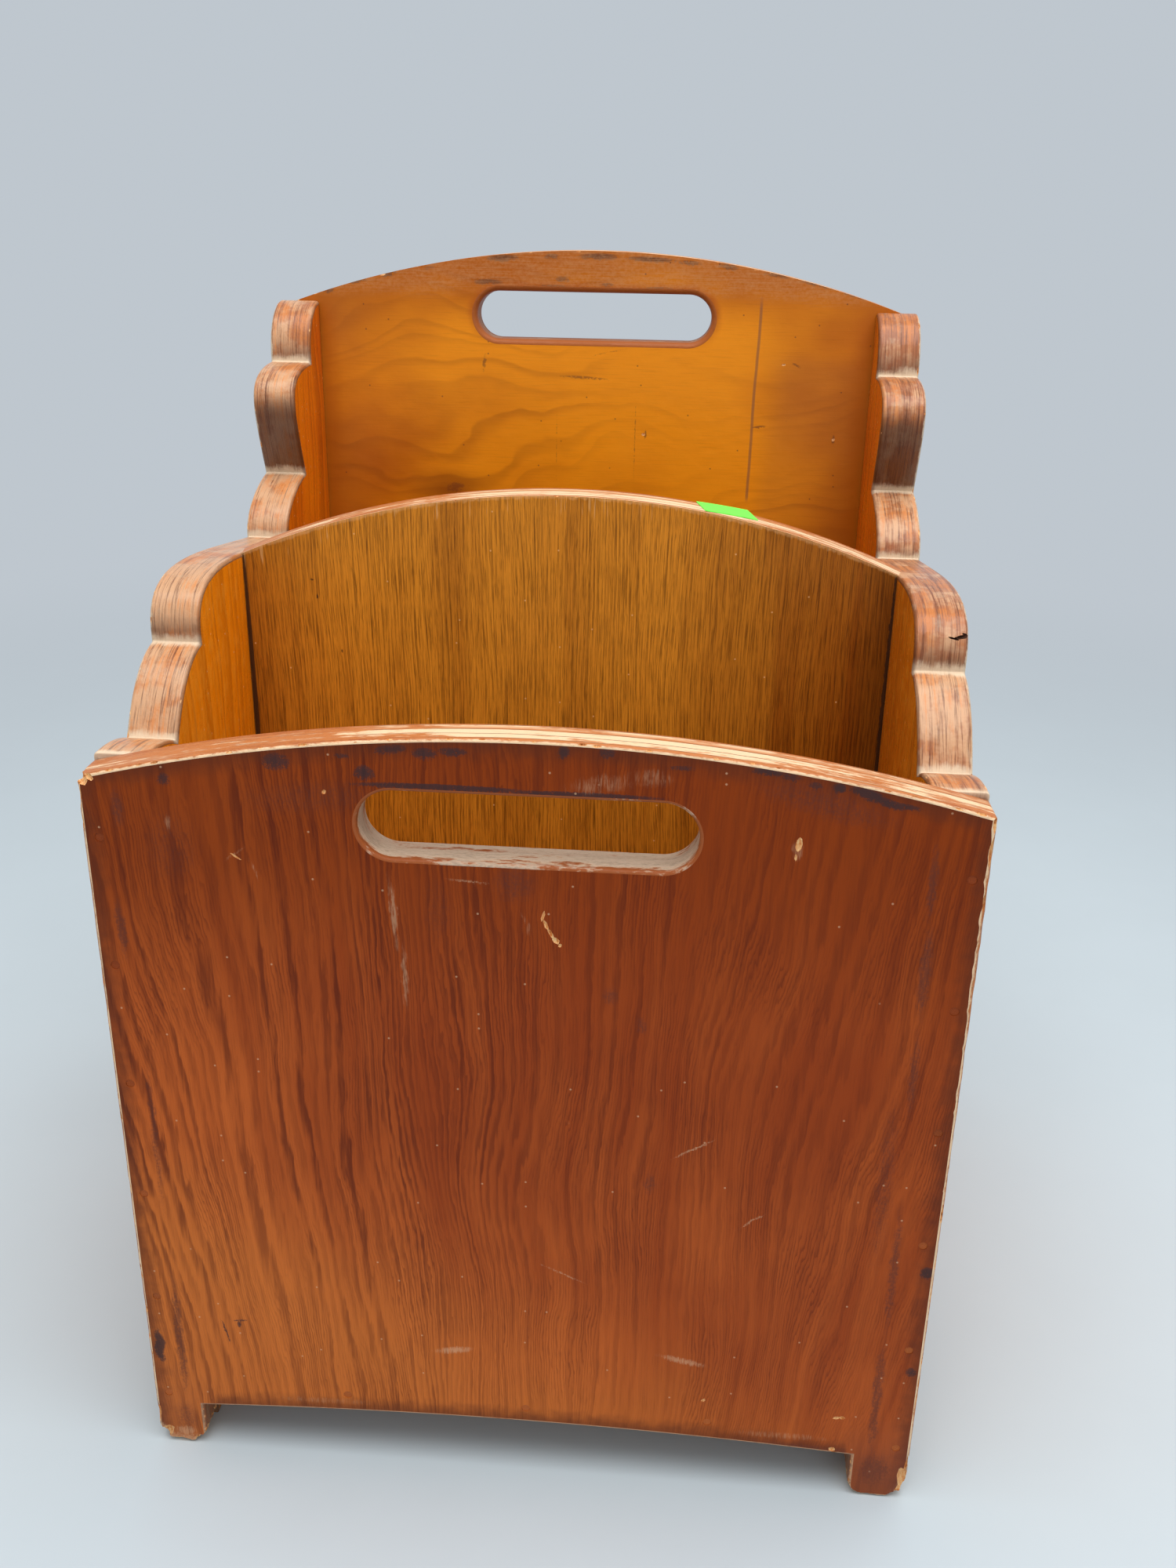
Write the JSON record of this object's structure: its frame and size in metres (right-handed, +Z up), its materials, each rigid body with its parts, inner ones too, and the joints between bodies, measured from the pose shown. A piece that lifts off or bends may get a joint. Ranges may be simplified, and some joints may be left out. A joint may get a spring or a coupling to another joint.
{
  "type": "tool storage caddy",
  "caption": "Wooden upright storage caddy with arched front and back panels with hand slots, stepped scalloped side boards, an arched divider and two open compartments.",
  "frame": {"origin": "middle of the footprint on the surface that the feet stand on (bounding-box bottom centre)", "axes": "+Z up, -Y towards the low front panel, +Y towards the tall back panel, +X to the right when the front is faced"},
  "size_m": [0.3, 0.286, 0.4528],
  "materials": {
    "front_ply": "red-brown stained and varnished softwood plywood, vertical grain, worn edges",
    "back_ply": "golden-orange varnished plywood, flowing horizontal grain",
    "side_board": "varnished solid softwood boards, worn pale along the scalloped edges",
    "divider_ply": "golden-brown varnished plywood, fine straight vertical grain, bare pale top edge",
    "bottom_board": "plain aged board",
    "nail_steel": "dull steel",
    "nail_putty": "dried wood putty, dull, toned to the varnish",
    "sticker": "matt fluorescent green paper, blank"
  },
  "bodies": {
    "root": {"front_panel": "front_ply", "back_panel": "back_ply", "side_left": "side_board", "side_right": "side_board", "divider": "divider_ply", "bottom": "bottom_board", "front_nails_left": "nail_steel", "front_nails_right": "nail_steel", "front_nails_bottom": "nail_steel", "back_nails_left": "nail_steel", "back_nails_right": "nail_steel", "back_nails_bottom": "nail_steel", "side_nails_left_bottom": "nail_steel", "side_nails_right_bottom": "nail_steel", "side_nails_left_divider": "nail_steel", "side_nails_right_divider": "nail_steel", "front_putty": "nail_putty", "back_putty": "nail_putty", "side_putty_left": "nail_putty", "side_putty_right": "nail_putty", "label": "sticker"}
  },
  "joints": []
}
